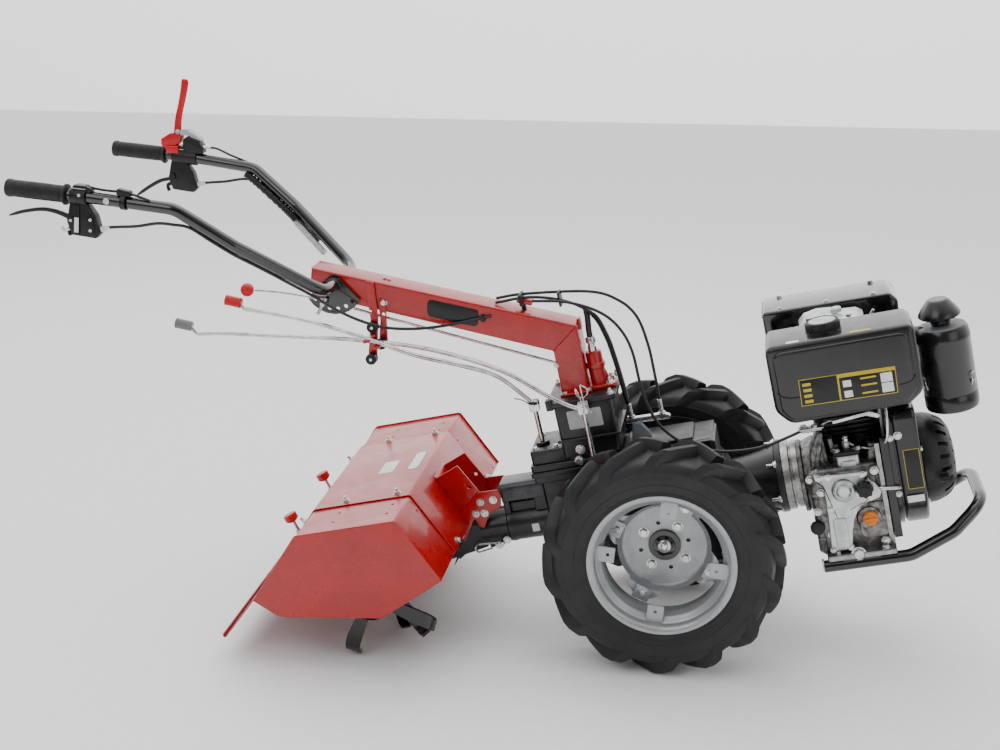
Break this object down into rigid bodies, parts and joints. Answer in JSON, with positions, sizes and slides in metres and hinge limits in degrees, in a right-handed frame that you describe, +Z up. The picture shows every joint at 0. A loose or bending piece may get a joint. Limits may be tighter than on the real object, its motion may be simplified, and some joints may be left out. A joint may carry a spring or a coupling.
{
  "type": "walking tractor",
  "caption": "Walking tractor with a diesel engine in front, two driven wheels, a rear rotary tiller under a red hood and a long adjustable handlebar.",
  "frame": {"origin": "middle of the bounding box on the floor", "axes": "+X to the front (engine end), +Y to the left, +Z up"},
  "size_m": [2.2344, 0.765, 1.2875],
  "materials": {
    "black_cast_iron": "black painted casting",
    "black_enamel": "gloss black enamel on steel",
    "black_plastic": "black moulded plastic and thin black covers",
    "black_spring_steel": "black painted spring steel",
    "cable_rubber": "black cable sheath",
    "cast_aluminium": "as-cast aluminium",
    "grip_rubber": "soft black rubber",
    "orange_plastic": "orange moulded plastic",
    "red_enamel": "gloss red stove enamel",
    "silver_wheel_paint": "silver wheel paint",
    "tyre_rubber": "black tyre rubber",
    "zinc_plated_steel": "bright zinc plate"
  },
  "bodies": {
    "chassis": {"side_cover": "zinc_plated_steel", "oil_filler_cap": "orange_plastic", "gearbox_housing": "black_cast_iron", "bell_housing": "black_cast_iron", "gear_column": "black_cast_iron", "pto_housing": "black_cast_iron", "pto_coupling": "black_cast_iron", "engine_adapter": "cast_aluminium", "crankcase": "cast_aluminium", "cylinder_block": "black_cast_iron", "cylinder_head": "cast_aluminium", "injection_pump": "cast_aluminium", "fan_shroud": "black_plastic", "recoil_starter": "black_plastic", "fuel_tank": "black_enamel", "fuel_cap": "black_plastic", "muffler": "black_enamel", "air_cleaner": "black_plastic", "front_bumper": "black_enamel", "tiller_gearcase": "black_cast_iron", "tiller_hitch": "red_enamel", "hood_centre": "red_enamel", "hood_wing_right": "red_enamel", "hood_wing_left": "red_enamel", "flap_adjuster_right": "zinc_plated_steel", "flap_adjuster_left": "zinc_plated_steel", "handle_boom": "red_enamel", "guide_column": "red_enamel", "front_shift_rod": "zinc_plated_steel", "rear_shift_rod": "zinc_plated_steel", "lock_rod": "zinc_plated_steel", "rod_bracket": "red_enamel", "clutch_arm": "zinc_plated_steel", "front_cable": "cable_rubber", "column_cable": "cable_rubber", "boom_cable": "cable_rubber", "throttle_cable": "cable_rubber"},
    "wheel_right": {"tyre_right": "tyre_rubber", "rim_right": "silver_wheel_paint", "hub_right": "black_cast_iron"},
    "wheel_left": {"tyre_left": "tyre_rubber", "rim_left": "silver_wheel_paint", "hub_left": "black_cast_iron"},
    "tine_rotor": {"tine_rotor_right": "black_spring_steel", "tine_rotor_left": "black_spring_steel"},
    "flap": {"rear_flap": "red_enamel"},
    "handlebar_frame": {"handlebar": "black_enamel", "grip_right": "grip_rubber", "grip_left": "grip_rubber", "clutch_lever_right": "black_enamel", "clutch_lever_left": "black_enamel", "dead_man_lever": "red_enamel", "bar_cable_right": "cable_rubber", "bar_cable_left": "cable_rubber"}
  },
  "joints": [
    {"name": "wheel_right_spin", "type": "hinge", "parent": "chassis", "child": "wheel_right", "pos_m": [0.3916, -0.2353, 0.28], "axis": [0, 1, 0], "continuous": true},
    {"name": "wheel_left_spin", "type": "hinge", "parent": "chassis", "child": "wheel_left", "pos_m": [0.3916, 0.2353, 0.28], "axis": [0, 1, 0], "continuous": true},
    {"name": "tine_rotor_spin", "type": "hinge", "parent": "chassis", "child": "tine_rotor", "pos_m": [-0.28091, 0, 0.17053], "axis": [0, 1, 0], "continuous": true},
    {"name": "rear_flap_lift", "type": "hinge", "parent": "chassis", "child": "flap", "pos_m": [-0.55407, 0, 0.15176], "axis": [0, 1, 0], "range_deg": [0, 55]},
    {"name": "handlebar_height", "type": "hinge", "parent": "chassis", "child": "handlebar_frame", "pos_m": [-0.42118, 0, 0.84318], "axis": [0, 1, 0], "range_deg": [-20, 15], "deforming": ["boom_cable"]}
  ]
}
